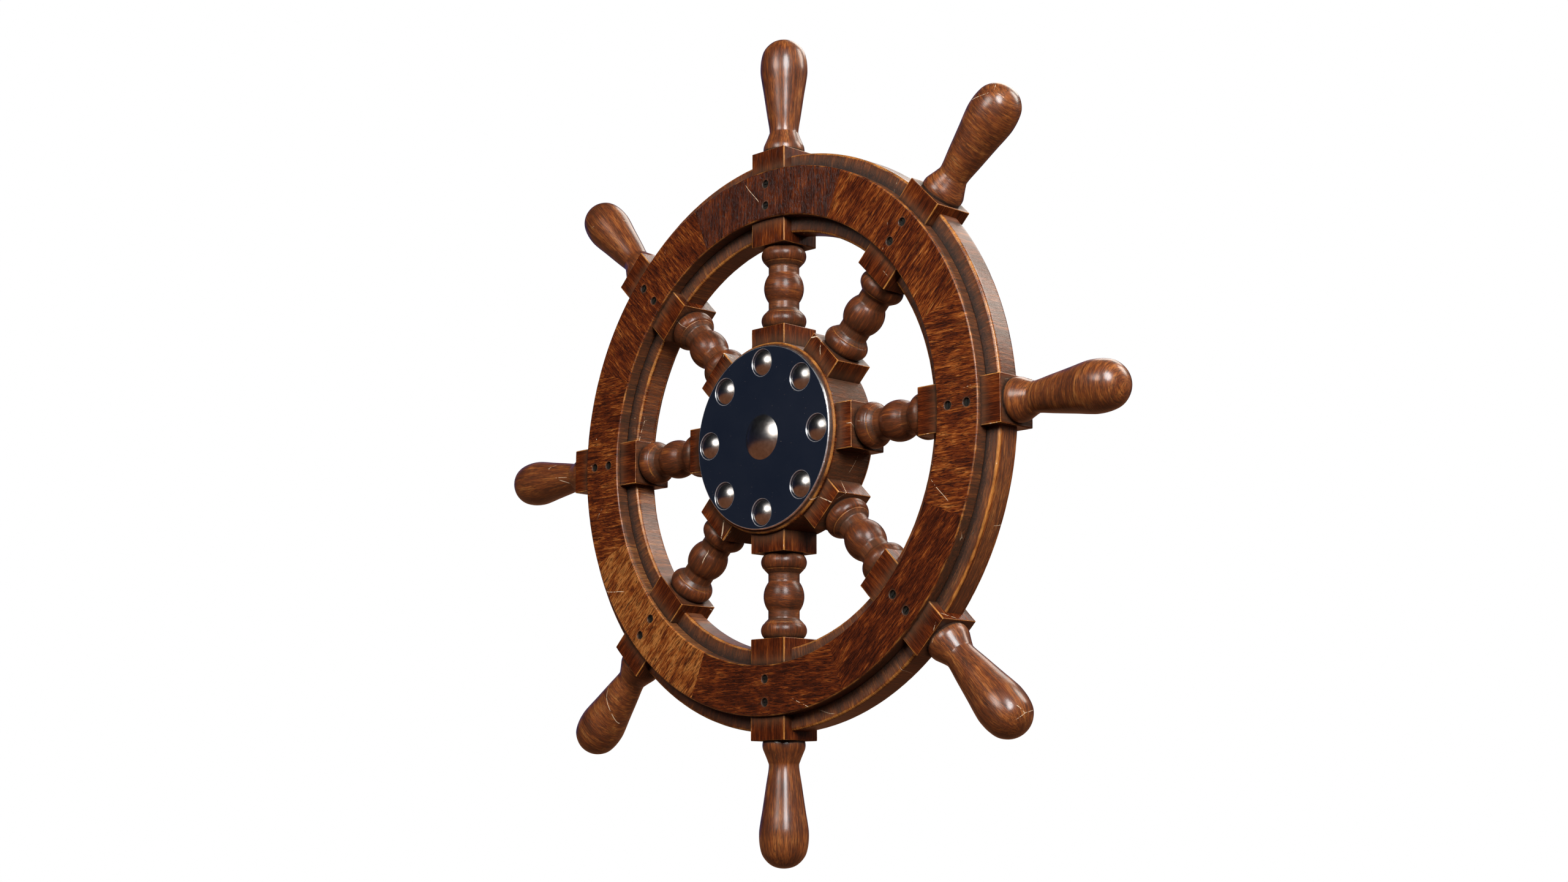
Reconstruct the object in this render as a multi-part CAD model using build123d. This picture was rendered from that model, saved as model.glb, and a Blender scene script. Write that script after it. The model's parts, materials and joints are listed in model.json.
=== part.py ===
from build123d import *
import math
import os

# Ship's steering wheel: eight turned spokes, a rim of felloes with a facing ring on each side,
# a wooden nave clamped between two metal plates, and a keyed shaft in a flanged bearing.
# Millimetres, +Z up. The wheel turns about Y and its front faces -Y.
# The origin is the centre of the bearing housing's back face, where it bolts to a pedestal.
# Everything is modelled about the wheel's mid-plane and shifted to that origin on export.

# ---------------------------------------------------------------- driving dimensions
overall_diameter = 914.0
spoke_count = 8
spoke_stock = 50.4                      # square section of the spoke's two blocks

rim_block_inner_radius = 216.0
rim_block_outer_radius = 324.0
hub_block_outer_radius = 124.0

felloe_inner_radius = 228.0
felloe_outer_radius = 315.5
felloe_thickness = 28.0
felloe_edge_radius = 3.0

facing_inner_radius = 244.5
facing_outer_radius = 299.0
facing_thickness = 15.3
facing_edge_radius = 2.0

nave_radius = 104.5
nave_thickness = 60.0
nave_edge_radius = 2.5

plate_radius = 100.5
plate_thickness = 4.2
plate_edge_radius = 1.4

shaft_radius = 12.7
shaft_tail_length = 40.0
tail_chamfer = 1.0
tail_key_inset = 6.0
housing_back_from_mid = 74.0            # wheel mid-plane to the housing's back face

# ---------------------------------------------------------------- small clearances
glue_gap = 0.1                          # round a glued or pinned joint
running_gap = 0.05                      # radial clearance of the shaft in its bush
end_float = 0.2                         # axial play of the shaft in its bearing

# ---------------------------------------------------------------- derived places
step_angle = 360.0 / spoke_count
half_stock = spoke_stock / 2
tip_radius = overall_diameter / 2
felloe_face = felloe_thickness / 2
facing_face = felloe_face + facing_thickness
nave_face = nave_thickness / 2
plate_face = nave_face + plate_thickness

# ---------------------------------------------------------------- spoke details
tenon_radius = 15.0
tenon_inner_radius = 58.0
baluster_neck_radius = 16.9
baluster_ball_radius = 22.0
baluster_ball_arc = 25.8                # the ball is a little longer than it is thick
collar_foot_radius = 20.8
collar_widest_radius = 24.6
collar_arris_radius = 21.3
collar_lengths = (0.8, 7.3, 17.2, 21.8) # its foot, widest place, arris and end, from the block
block_edge = 0.8
grip_radius = 26.4

# ---------------------------------------------------------------- fastener details
screw_radii = (259.5, 284.0)            # where the two screws of each facing sit
screw_hole_radius = 4.35
screw_head_radius = 4.2
screw_head_height = 3.0
screw_recess = 2.2
screw_shank_radius = 2.5
screw_end_from_mid = 2.0
screw_slot_width = 1.2
screw_slot_depth = 1.0

dowel_radius = 5.0
dowel_length = 40.0
dowel_circle_radii = (240.0, 303.0)

bolt_circle_radius = 82.0
bolt_shank_radius = 5.0
bolt_head_radius = 13.8
bolt_head_height = 4.9
bolt_seat_radius = 15.2                 # countersink in the front plate round each head
bolt_seat_depth = 1.2
bolt_nut_height = 8.0
bolt_nut_flats = 17.0
bolt_nut_crown = 5.0
bolt_end_in_nut = 6.5

# ---------------------------------------------------------------- hub details
cap_radius = 24.5
cap_height = 7.0
cap_spigot_radius = 21.9
cap_wall = 2.0
plate_bore_radius = 22.0
nut_recess_radius = 24.0
boss_radius = 19.0
boss_front = -12.0                      # front end of the keyed boss, from the mid-plane
washer_radius = 18.0
washer_thickness = 2.5
shaft_nut_flats = 30.0
shaft_nut_height = 15.0
shaft_thread_radius = 10.0
key_width = 6.35
key_front = -8.0
key_back = 28.0

# ---------------------------------------------------------------- bearing details
journal_radius = 14.0
collar_radius = 19.0
collar_length = 4.0
bush_flange_radius = 24.0
bush_flange_thickness = 3.0
bush_outer_radius = 18.0
housing_boss_radius = 28.0
housing_flange_radius = 55.0
housing_flange_thickness = 10.0
housing_edge_radius = 1.5
housing_root_radius = 5.0
housing_hole_radius = 4.5
housing_hole_circle_radius = 43.0
housing_hole_count = 4
recess_radius = 22.0
recess_depth = 8.0
clip_outer_radius = 18.0
clip_groove_radius = 12.9
clip_thickness = 2.0
clip_gap_angle = 40.0

# A quarter turn about X lays a Z-axis solid along Y.
ALONG_Y = Rotation(-90, 0, 0)


def disc(radius, y_start, y_end):
    """A cylinder on the wheel's axis between two places on Y."""
    solid = ALONG_Y * Cylinder(radius, abs(y_end - y_start))
    return Pos(0, (y_start + y_end) / 2, 0) * solid


def rod(radius, y_start, y_end, x, z):
    """A cylinder parallel to the axis at a place in the wheel's plane."""
    return Pos(x, 0, z) * disc(radius, y_start, y_end)


def turned(shape, index):
    """Turn a shape from the top of the wheel to a spoke position, clockwise from the front."""
    return Rotation(0, index * step_angle, 0) * shape


def around(shape, count=spoke_count):
    """Separate copies of a shape at equal steps round the axis."""
    return [Rotation(0, i * 360.0 / count, 0) * shape for i in range(count)]


def rounded_ring(inner, outer, y_start, y_end, edge):
    """A ring about Y with a rectangular section whose corners are rounded."""
    section = RectangleRounded(outer - inner, abs(y_end - y_start), edge)
    face = Plane.XY * Pos((inner + outer) / 2, (y_start + y_end) / 2) * section
    return revolve(face, Axis.Y)


def wedge(side_offset, half_angle, reach, depth):
    """The space between two planes set off from a pair of radii, about the +Z direction."""
    tangent = math.tan(math.radians(half_angle))
    apex = side_offset / math.sin(math.radians(half_angle))
    side = (reach - apex) * tangent
    outline = Polyline((0, apex), (side, reach), (-side, reach), close=True)
    return extrude(Plane.XZ * make_face(outline), amount=depth / 2, both=True)


# ---------------------------------------------------------------- spoke
def half_baluster():
    """The turned waist from the hub block to the middle of its ball."""
    start = hub_block_outer_radius
    middle = (hub_block_outer_radius + rim_block_inner_radius) / 2
    foot_end, widest, arris, collar_end = [start + length for length in collar_lengths]
    arc_centre = baluster_ball_radius - baluster_ball_arc
    half_angle = math.acos((baluster_neck_radius - arc_centre) / baluster_ball_arc)
    ball_start = middle - baluster_ball_arc * math.sin(half_angle)
    ball_mid_radius = arc_centre + baluster_ball_arc * math.cos(half_angle / 2)
    ball_mid_height = middle - baluster_ball_arc * math.sin(half_angle / 2)
    outline = [
        Line((0, start), (collar_foot_radius, start)),
        Line((collar_foot_radius, start), (collar_foot_radius, foot_end)),
        ThreePointArc((collar_foot_radius, foot_end), (collar_widest_radius, widest),
                      (collar_arris_radius, arris)),
        Line((collar_arris_radius, arris), (baluster_neck_radius, collar_end)),
        Line((baluster_neck_radius, collar_end), (baluster_neck_radius, ball_start)),
        ThreePointArc((baluster_neck_radius, ball_start), (ball_mid_radius, ball_mid_height),
                      (baluster_ball_radius, middle)),
        Line((baluster_ball_radius, middle), (0, middle)),
        Line((0, middle), (0, start)),
    ]
    return revolve(Plane.XZ * make_face(outline), Axis.Z)


def handle():
    """The hand grip: a beaded foot, a neck, a long flare and a blunt crown."""
    foot = rim_block_outer_radius
    flare = Spline(
        (22.3, foot + 9.0), (17.4, foot + 21.0), (16.2, foot + 27.5), (19.1, foot + 46.5),
        (22.9, foot + 72.0), (25.2, foot + 86.0), (grip_radius, foot + 97.0),
        tangents=((-0.35, 1), (0, 1)))
    crown = Spline(
        (grip_radius, foot + 97.0), (25.5, foot + 110.0), (22.0, foot + 121.0),
        (12.7, tip_radius - 2.8), (0, tip_radius), tangents=((0, 1), (-1, 0)))
    outline = [
        Line((0, foot), (22.4, foot)),
        ThreePointArc((22.4, foot), (23.0, foot + 3.5), (22.3, foot + 9.0)),
        flare,
        crown,
        Line((0, tip_radius), (0, foot)),
    ]
    return revolve(Plane.XZ * make_face(outline), Axis.Z)


def block(start, end):
    """A length of square stock along +Z with eased edges."""
    body = Pos(0, 0, (start + end) / 2) * Box(spoke_stock, spoke_stock, end - start)
    return chamfer(body.edges(), block_edge)


def facing_dado(side):
    """The curved housing cut across the rim block for one facing ring."""
    outer = disc(facing_outer_radius + glue_gap, side * felloe_face, side * (half_stock + 1))
    inner = disc(facing_inner_radius - glue_gap, side * felloe_face, side * (half_stock + 1))
    return outer - inner


def dowel_places():
    """Centre of each dowel of the top spoke: offset across the spoke, and radius."""
    return [(side * half_stock, radius) for side in (-1, 1) for radius in dowel_circle_radii]


def dowels(radius, length):
    """Round dowels across the sides of the top spoke's rim block."""
    return [Pos(x, 0, z) * Rotation(0, 90, 0) * Cylinder(radius, length) for x, z in dowel_places()]


def screw_holes(radius, y_start, y_end):
    return [rod(radius, y_start, y_end, 0, z) for z in screw_radii]


def make_spoke():
    middle = (hub_block_outer_radius + rim_block_inner_radius) / 2
    lower = half_baluster()
    tenon_length = nave_radius + 2 - tenon_inner_radius
    tenon = Pos(0, 0, tenon_inner_radius + tenon_length / 2) * Cylinder(tenon_radius, tenon_length)
    hub_block = block(nave_radius - 8, hub_block_outer_radius) - disc(nave_radius, -50, 50)
    rim_block = block(rim_block_inner_radius, rim_block_outer_radius)
    rim_block -= facing_dado(-1)
    rim_block -= facing_dado(1)
    spoke = hub_block + tenon + lower + mirror(lower, Plane.XY.offset(middle)) + rim_block + handle()
    spoke -= dowels(dowel_radius + glue_gap / 2, dowel_length)
    spoke -= screw_holes(screw_shank_radius + glue_gap / 2, -half_stock, -screw_end_from_mid)
    spoke -= screw_holes(screw_shank_radius + glue_gap / 2, screw_end_from_mid, half_stock)
    spoke -= rod(bolt_shank_radius + glue_gap, -half_stock, half_stock, 0, bolt_circle_radius)
    return spoke


# ---------------------------------------------------------------- rim
def make_felloe():
    """The rim piece that fills the space clockwise of the top spoke."""
    ring = rounded_ring(felloe_inner_radius, felloe_outer_radius, -felloe_face, felloe_face,
                        felloe_edge_radius)
    space = wedge(half_stock, step_angle / 2, felloe_outer_radius * 1.3, spoke_stock)
    felloe = ring & (Rotation(0, step_angle / 2, 0) * space)
    holes = dowels(dowel_radius + glue_gap / 2, dowel_length)
    felloe -= holes
    felloe -= [turned(hole, 1) for hole in holes]
    return felloe


def make_facing(side):
    """One piece of a facing ring, centred on the top spoke; side is -1 in front, 1 behind."""
    near, far = side * felloe_face, side * facing_face
    ring = rounded_ring(facing_inner_radius, facing_outer_radius, near, far, facing_edge_radius)
    reach = facing_outer_radius * 1.3
    half_width = reach * math.tan(math.radians(step_angle / 2))
    outline = Polyline((0, 0), (half_width, reach), (-half_width, reach), close=True)
    piece = ring & extrude(Plane.XZ * make_face(outline), amount=spoke_stock, both=True)
    seat = side * (facing_face - screw_recess - screw_head_height)
    piece -= screw_holes(screw_hole_radius, seat, far + side)
    piece -= screw_holes(screw_shank_radius + glue_gap / 2, near, seat)
    return piece


def make_screw(side):
    """A slotted wood screw through a facing into the spoke."""
    top = side * (facing_face - screw_recess)
    seat = top - side * screw_head_height
    screw = disc(screw_head_radius, seat, top) + disc(screw_shank_radius, side * screw_end_from_mid, seat)
    slot_middle = top - side * screw_slot_depth / 2
    slot = Pos(0, slot_middle, 0) * Box(2 * screw_head_radius, screw_slot_depth, screw_slot_width)
    return screw - slot


# ---------------------------------------------------------------- hub
def make_nave():
    nave = fillet(disc(nave_radius, -nave_face, nave_face).edges(), nave_edge_radius)
    nave -= disc(boss_radius + glue_gap, -nave_face, nave_face)
    nave -= disc(nut_recess_radius, -nave_face, boss_front)
    depth = nave_radius + 1 - tenon_inner_radius
    mortise = Pos(0, 0, tenon_inner_radius + depth / 2) * Cylinder(tenon_radius + glue_gap / 2, depth)
    nave -= around(mortise)
    nave -= around(rod(bolt_shank_radius + glue_gap, -nave_face, nave_face, 0, bolt_circle_radius))
    return nave


def make_front_plate():
    plate = disc(plate_radius, -plate_face, -nave_face)
    plate = fillet(plate.edges().sort_by(Axis.Y)[0], plate_edge_radius)
    plate -= disc(plate_bore_radius, -plate_face, -nave_face)
    seat_wall = Cone(bolt_seat_radius - bolt_seat_depth, bolt_seat_radius, bolt_seat_depth)
    seat = Rotation(90, 0, 0) * seat_wall
    seat = Pos(0, -plate_face + bolt_seat_depth / 2, bolt_circle_radius) * seat
    plate -= around(seat)
    plate -= around(rod(bolt_shank_radius + glue_gap, -plate_face, -nave_face, 0, bolt_circle_radius))
    return plate


def keyway(y_start, y_end):
    """The space of the key, half in the shaft and half in the boss."""
    middle = Pos(0, (y_start + y_end) / 2, shaft_radius)
    return middle * Box(key_width, y_end - y_start, key_width)


def make_hub_flange():
    """Rear clamp plate cast in one with the keyed boss that carries the wheel."""
    flange = disc(plate_radius, nave_face, plate_face)
    flange = fillet(flange.edges().sort_by(Axis.Y)[-1], plate_edge_radius)
    flange += disc(boss_radius, boss_front, plate_face)
    flange -= disc(shaft_radius, boss_front, plate_face)
    flange -= keyway(key_front, plate_face)
    flange -= around(rod(bolt_shank_radius + glue_gap, nave_face, plate_face, 0, bolt_circle_radius))
    return flange


def spherical_cap(radius, height):
    """A low dome standing on the XY plane."""
    sphere_radius = (radius**2 + height**2) / (2 * height)
    half_angle = math.asin(radius / sphere_radius) / 2
    mid_radius = sphere_radius * math.sin(half_angle)
    mid_height = height - sphere_radius * (1 - math.cos(half_angle))
    outline = [
        Line((0, 0), (0, height)),
        ThreePointArc((0, height), (mid_radius, mid_height), (radius, 0)),
        Line((radius, 0), (0, 0)),
    ]
    return revolve(Plane.XZ * make_face(outline), Axis.Z)


def facing_front(shape):
    """Turn a shape that stands on the XY plane so that it points out of the wheel's front."""
    return Rotation(90, 0, 0) * shape


def make_hub_bolts():
    head_base = -plate_face + bolt_seat_depth
    head = Pos(0, head_base, 0) * facing_front(spherical_cap(bolt_head_radius, bolt_head_height))
    bolt = head + disc(bolt_shank_radius, head_base, plate_face + bolt_end_in_nut)
    return around(Pos(0, 0, bolt_circle_radius) * bolt)


def make_hub_nuts():
    """Acorn nuts on the bolts behind the rear flange."""
    body = extrude(RegularPolygon(bolt_nut_flats / 2, 6, major_radius=False), bolt_nut_height)
    crown = Pos(0, 0, bolt_nut_height) * spherical_cap(bolt_nut_flats / 2 - 0.5, bolt_nut_crown)
    thread = Pos(0, 0, bolt_end_in_nut / 2) * Cylinder(bolt_shank_radius, bolt_end_in_nut)
    nut = Pos(0, plate_face, bolt_circle_radius) * ALONG_Y * (body + crown - thread)
    return around(nut)


def make_centre_cap():
    """Domed cover over the shaft's nut, with a spigot that pushes into the front plate."""
    dome = spherical_cap(cap_radius, cap_height)
    hollow = spherical_cap(cap_spigot_radius - cap_wall, cap_height - cap_wall)
    spigot = Pos(0, 0, -plate_thickness / 2) * Cylinder(cap_spigot_radius, plate_thickness)
    spigot -= Pos(0, 0, -plate_thickness / 2) * Cylinder(cap_spigot_radius - cap_wall, plate_thickness)
    return Pos(0, -plate_face, 0) * facing_front(dome - hollow + spigot)


def make_shaft_nut():
    body = extrude(RegularPolygon(shaft_nut_flats / 2, 6, major_radius=False), shaft_nut_height)
    nut = body - Pos(0, 0, shaft_nut_height / 2) * Cylinder(shaft_thread_radius, shaft_nut_height)
    return Pos(0, boss_front - washer_thickness, 0) * facing_front(nut)


def make_shaft_washer():
    front = boss_front - washer_thickness
    hole = disc(shaft_thread_radius + running_gap, front, boss_front)
    return disc(washer_radius, front, boss_front) - hole


# ---------------------------------------------------------------- shaft and bearing
collar_back = plate_face + collar_length
bush_front = collar_back + end_float
housing_front = bush_front + bush_flange_thickness
recess_floor = housing_back_from_mid - recess_depth
clip_front = recess_floor + end_float
clip_back = clip_front + clip_thickness
tail_end = housing_back_from_mid + shaft_tail_length


def make_shaft():
    thread_front = boss_front - washer_thickness - shaft_nut_height - 1.5
    shaft = disc(shaft_thread_radius, thread_front, boss_front)
    shaft += disc(shaft_radius, boss_front, plate_face)
    shaft += disc(collar_radius, plate_face, collar_back)
    shaft += disc(journal_radius, collar_back, housing_back_from_mid)
    shaft += disc(shaft_radius, housing_back_from_mid, tail_end)
    shaft = chamfer(shaft.edges().sort_by(Axis.Y)[-1], tail_chamfer)
    shaft -= keyway(key_front, key_back)
    shaft -= keyway(housing_back_from_mid + tail_key_inset, tail_end - tail_key_inset)
    shaft -= disc(clip_outer_radius, clip_front, clip_back) - disc(clip_groove_radius, clip_front, clip_back)
    return shaft


def make_retaining_ring():
    """External circlip that keeps the shaft in its bearing."""
    ring = disc(clip_outer_radius, clip_front, clip_back) - disc(clip_groove_radius, clip_front, clip_back)
    half_gap = clip_outer_radius * math.tan(math.radians(clip_gap_angle / 2))
    outline = Polyline((0, 0), (half_gap, clip_outer_radius), (-half_gap, clip_outer_radius), close=True)
    slot = extrude(Plane.XZ * make_face(outline), amount=housing_back_from_mid, both=True)
    return ring - Rotation(0, 180, 0) * slot


def make_bush():
    bush = disc(bush_flange_radius, bush_front, housing_front)
    bush += disc(bush_outer_radius, housing_front, recess_floor)
    return bush - disc(journal_radius + running_gap, bush_front, recess_floor)


def make_housing():
    flange_front = housing_back_from_mid - housing_flange_thickness
    flange = disc(housing_flange_radius, flange_front, housing_back_from_mid)
    flange = fillet(flange.edges(), housing_edge_radius)
    housing = flange + disc(housing_boss_radius, housing_front, flange_front + 1)
    neck = housing.edges().filter_by(GeomType.CIRCLE)
    neck = [edge for edge in neck if abs(edge.radius - housing_boss_radius) < 0.01]
    root = max(neck, key=lambda edge: edge.center().Y)
    housing = fillet(root, housing_root_radius)
    housing -= disc(bush_outer_radius, housing_front, recess_floor)
    housing -= disc(recess_radius, recess_floor, housing_back_from_mid)
    hole = rod(housing_hole_radius, flange_front, housing_back_from_mid, 0, housing_hole_circle_radius)
    diagonal = Rotation(0, 180.0 / housing_hole_count, 0)
    housing -= [diagonal * copy for copy in around(hole, housing_hole_count)]
    return housing


# ---------------------------------------------------------------- assembly
def group(solids):
    """Several separate solids as one node."""
    return Compound(children=[Compound(solid.wrapped) for solid in solids])


def build_parts():
    parts = {}
    spoke = make_spoke()
    felloe = make_felloe()
    front_facing = make_facing(-1)
    rear_facing = make_facing(1)
    for i in range(spoke_count):
        parts[f"spoke_{i + 1}"] = turned(spoke, i)
        parts[f"felloe_{i + 1}"] = turned(felloe, i)
        parts[f"front_facing_{i + 1}"] = turned(front_facing, i)
        parts[f"rear_facing_{i + 1}"] = turned(rear_facing, i)
    for name, side in (("front_screws", -1), ("rear_screws", 1)):
        screw = make_screw(side)
        parts[name] = group([copy for z in screw_radii for copy in around(Pos(0, 0, z) * screw)])
    pegs = dowels(dowel_radius, dowel_length)
    parts["rim_dowels"] = group([copy for peg in pegs for copy in around(peg)])
    parts["nave"] = make_nave()
    parts["front_plate"] = make_front_plate()
    parts["hub_flange"] = make_hub_flange()
    parts["hub_bolts"] = group(make_hub_bolts())
    parts["hub_nuts"] = group(make_hub_nuts())
    parts["centre_cap"] = make_centre_cap()
    parts["shaft"] = make_shaft()
    parts["shaft_key"] = keyway(key_front, key_back)
    parts["shaft_washer"] = make_shaft_washer()
    parts["shaft_nut"] = make_shaft_nut()
    parts["retaining_ring"] = make_retaining_ring()
    parts["bearing_bush"] = make_bush()
    parts["bearing_housing"] = make_housing()
    return parts


os.makedirs("parts", exist_ok=True)
for node, shape in build_parts().items():
    export_step(Pos(0, -housing_back_from_mid, 0) * shape, f"parts/{node}.step")
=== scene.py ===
import json
import math
import random
from collections import namedtuple

import bmesh
import bpy
from mathutils import Matrix, Vector, noise


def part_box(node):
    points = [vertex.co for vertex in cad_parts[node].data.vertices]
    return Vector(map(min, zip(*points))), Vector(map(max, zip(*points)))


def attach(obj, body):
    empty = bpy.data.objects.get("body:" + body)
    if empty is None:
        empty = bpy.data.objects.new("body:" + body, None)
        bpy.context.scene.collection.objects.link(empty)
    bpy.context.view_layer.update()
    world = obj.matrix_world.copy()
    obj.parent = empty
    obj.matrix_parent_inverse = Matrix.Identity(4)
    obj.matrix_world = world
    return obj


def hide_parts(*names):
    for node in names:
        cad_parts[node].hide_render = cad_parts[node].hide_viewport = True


# Ship's steering wheel, in metres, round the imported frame. The spokes, felloes and facings are lofted here
# with eased, worn edges; all other pieces keep their CAD shape. Every finish is made of nodes.
# A piece of the wheel is first built in the place of the top spoke: x across, y along the axis from the
# wheel's mid-plane, z out from the hub. Then it is turned to its own place, clockwise from the front.

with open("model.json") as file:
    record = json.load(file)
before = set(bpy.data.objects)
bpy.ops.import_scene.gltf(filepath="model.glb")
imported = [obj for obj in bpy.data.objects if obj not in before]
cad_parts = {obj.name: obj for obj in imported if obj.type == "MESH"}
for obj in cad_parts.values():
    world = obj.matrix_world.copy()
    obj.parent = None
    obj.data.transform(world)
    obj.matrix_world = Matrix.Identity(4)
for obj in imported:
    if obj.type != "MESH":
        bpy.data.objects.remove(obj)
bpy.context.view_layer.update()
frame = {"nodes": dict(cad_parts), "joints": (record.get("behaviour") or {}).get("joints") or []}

# -------------------- places, from the frame
hub = Vector(frame["joints"][0]["pos_m"])
wheel_body = frame["joints"][0]["child"]
tip_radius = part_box("spoke_1")[1].z - hub.z
facing_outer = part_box("front_facing_1")[1].z - hub.z
nave_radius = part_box("nave")[1].x
plate_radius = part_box("front_plate")[1].x
facing_far = hub.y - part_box("front_facing_1")[0].y
felloe_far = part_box("felloe_1")[1].y - hub.y

# -------------------- sizes
MM = 0.001
spoke_count = 8
step_angle = math.tau / spoke_count
half_stock = 25.2 * MM
rim_block = (216.0 * MM, 324.0 * MM)
hub_block_end = 124.0 * MM
baluster_foot = 20.8 * MM
handle_foot = 22.4 * MM
felloe_radii = (228.0 * MM, 315.5 * MM)
nave_half_depth = 30.0 * MM
bolt_circle = 82.0 * MM
facing_radii = (244.5 * MM, facing_outer)
joint_gap = 0.1 * MM

block_corner = 0.9 * MM             # rounding of the blocks' long edges
block_end_round = 0.8 * MM
felloe_round = 3.0 * MM
facing_round = 1.9 * MM
arc_steps = 5

turned_radius = 20.0 * MM           # the grain follows a turned outline much as if it were this cylinder
turned_draw = 0.65                  # how much so, from 0 to 1
tenon_radius = 15.0 * MM
tenon_start = 58.0 * MM
screw_radii = (259.5 * MM, 284.0 * MM)
screw_hole = 4.35 * MM
screw_shank = 2.55 * MM
screw_seat = 5.2 * MM               # depth of the seat under the facing's face
hole_chamfer = 0.45 * MM
patch_half = 6.5 * MM
patch_cells = 8

grid_step = 3.0 * MM
weld = 0.004 * MM
sharp_angle = math.radians(38.0)

# -------------------- wear and dirt
felloe_wear = 0.68                  # 0 is sound, 1 is most worn
facing_wear = 0.5
worn_through = 0.3                  # wear above which an edge is nicked and shows bare wood
nick_depth = 0.35 * MM
nick_scale = 160.0                  # nicks to a metre
hand_grime = 0.22                   # the film of dirt on every turned surface

# -------------------- figure of the wood
ringed_handles = (2, 3, 6)          # pieces whose grain runs across a turning, or along the ring
ringed_balusters = (1, 5)
tangential_facings = (4, 5)
tangential_felloes = (3,)
ring_slant = 0.16                   # how fast a ringed turning's figure changes along its x and y
ring_across = 0.12
ring_along = 2.0
edge_figure = 0.06                  # how fast grain that points at the hub changes through the thickness
facing_long_figure = 0.3            # and how fast grain along the ring does
felloe_long_figure = 1.0
block_tone = -0.10                  # below zero is darker wood, above zero lighter
baluster_tone = -0.05
handle_tone = 0.15
nave_tone = -0.12
# Colour shift of each facing and felloe segment: partly the wood's own, partly painted light and shade,
# darker on the top facing, lighter on the lower left facing and the lower right felloe.
facing_tone_and_light = {1: -0.20, 2: 0.05, 3: 0.07, 4: -0.10, 5: -0.08, 6: 0.38, 7: 0.07, 8: 0.0}
felloe_tone_and_light = {3: 0.12, 4: 0.03}
felloe_tone_spread = 0.06
baluster_raised = 0.3               # how far the grain stands up through the varnish
handle_raised = 1.0
nave_raised = 0.5


# -------------------- shells
# The values a point carries: wear; soiling, which in corners and hollows is painted shade; a colour shift,
# partly painted light and shade; and raised grain.
point_values = ("wear", "grime_and_shade", "tone_and_light", "raised")


class Shell:
    """One wooden piece while it is built, with what its finish reads at each point."""

    def __init__(self, grain):
        self.mesh = bmesh.new()
        self.grain = grain
        layers = self.mesh.verts.layers
        self.grain_layer = layers.float_vector.new("grain")
        self.value_layers = [layers.float.new(name) for name in point_values]

    def point(self, place, wear=0.0, grime_and_shade=0.0, tone_and_light=0.0, raised=0.0):
        """A new point of the piece, with its grain coordinates and what else the finish reads."""
        vert = self.mesh.verts.new(place)
        vert[self.grain_layer] = self.grain(vert.co)
        for layer, value in zip(self.value_layers, (wear, grime_and_shade, tone_and_light, raised)):
            vert[layer] = value
        return vert

    def skin(self, first, second, skip=()):
        """Faces between two closed rings with the same number of points."""
        count = len(first)
        for i in range(count):
            if i in skip:
                continue
            j = (i + 1) % count
            self.mesh.faces.new((first[i], first[j], second[j], second[i]))

    def cap(self, ring):
        """One flat face across a ring."""
        self.mesh.faces.new(ring)

    def fan(self, ring, peak):
        """Triangles from a ring to one point."""
        for i, vert in enumerate(ring):
            self.mesh.faces.new((vert, ring[(i + 1) % len(ring)], peak))

    def clean(self):
        """Weld the doubled points, face everything outwards, and nick the worn edges."""
        bmesh.ops.remove_doubles(self.mesh, verts=self.mesh.verts, dist=weld)
        bmesh.ops.recalc_face_normals(self.mesh, faces=self.mesh.faces)
        self.mesh.normal_update()
        for vert in self.mesh.verts:
            wear = vert[self.value_layers[0]]
            if wear > worn_through:
                rough = noise.noise(vert.co * nick_scale + Vector(vert[self.grain_layer]))
                vert.co -= vert.normal * wear * nick_depth * max(0.0, rough)


def add_object(name, data):
    """A new object in the scene."""
    made = bpy.data.objects.new(name, data)
    bpy.context.scene.collection.objects.link(made)
    return made


def add_piece(shell, name, node, index, material):
    """Turn a finished shell to its place on the wheel and let it stand for its CAD node."""
    shell.clean()
    mesh = bpy.data.meshes.new(name)
    shell.mesh.to_mesh(mesh)
    shell.mesh.free()
    mesh.transform(Matrix.Translation(hub) @ Matrix.Rotation(index * step_angle, 4, "Y"))
    mesh.shade_smooth()
    mesh.set_sharp_from_angle(angle=sharp_angle)
    mesh.materials.append(material)
    piece = add_object(name, mesh)
    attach(piece, wheel_body)
    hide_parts(node)
    return piece


# -------------------- outlines
def arc_through(start, middle, end, steps):
    """Points on the circle through three (radius, height) points, both ends included."""
    (ax, ay), (bx, by), (cx, cy) = start, middle, end
    turn = 2 * (ax * (by - cy) + bx * (cy - ay) + cx * (ay - by))
    a_sq, b_sq, c_sq = ax * ax + ay * ay, bx * bx + by * by, cx * cx + cy * cy
    ux = (a_sq * (by - cy) + b_sq * (cy - ay) + c_sq * (ay - by)) / turn
    uy = (a_sq * (cx - bx) + b_sq * (ax - cx) + c_sq * (bx - ax)) / turn
    size = math.hypot(ax - ux, ay - uy)
    first = math.atan2(ay - uy, ax - ux)
    last = math.atan2(cy - uy, cx - ux)
    sweep = (last - first + math.pi) % math.tau - math.pi
    angles = [first + sweep * i / steps for i in range(steps + 1)]
    return [(ux + size * math.cos(a), uy + size * math.sin(a)) for a in angles]


def catmull_rom(before, start, end, after, share):
    """A smooth value between start and end, led by the values before and after them."""
    slope = end - before
    bend = 2 * before - 5 * start + 4 * end - after
    twist = 3 * start - before - 3 * end + after
    return 0.5 * (2 * start + slope * share + bend * share**2 + twist * share**3)


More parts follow.
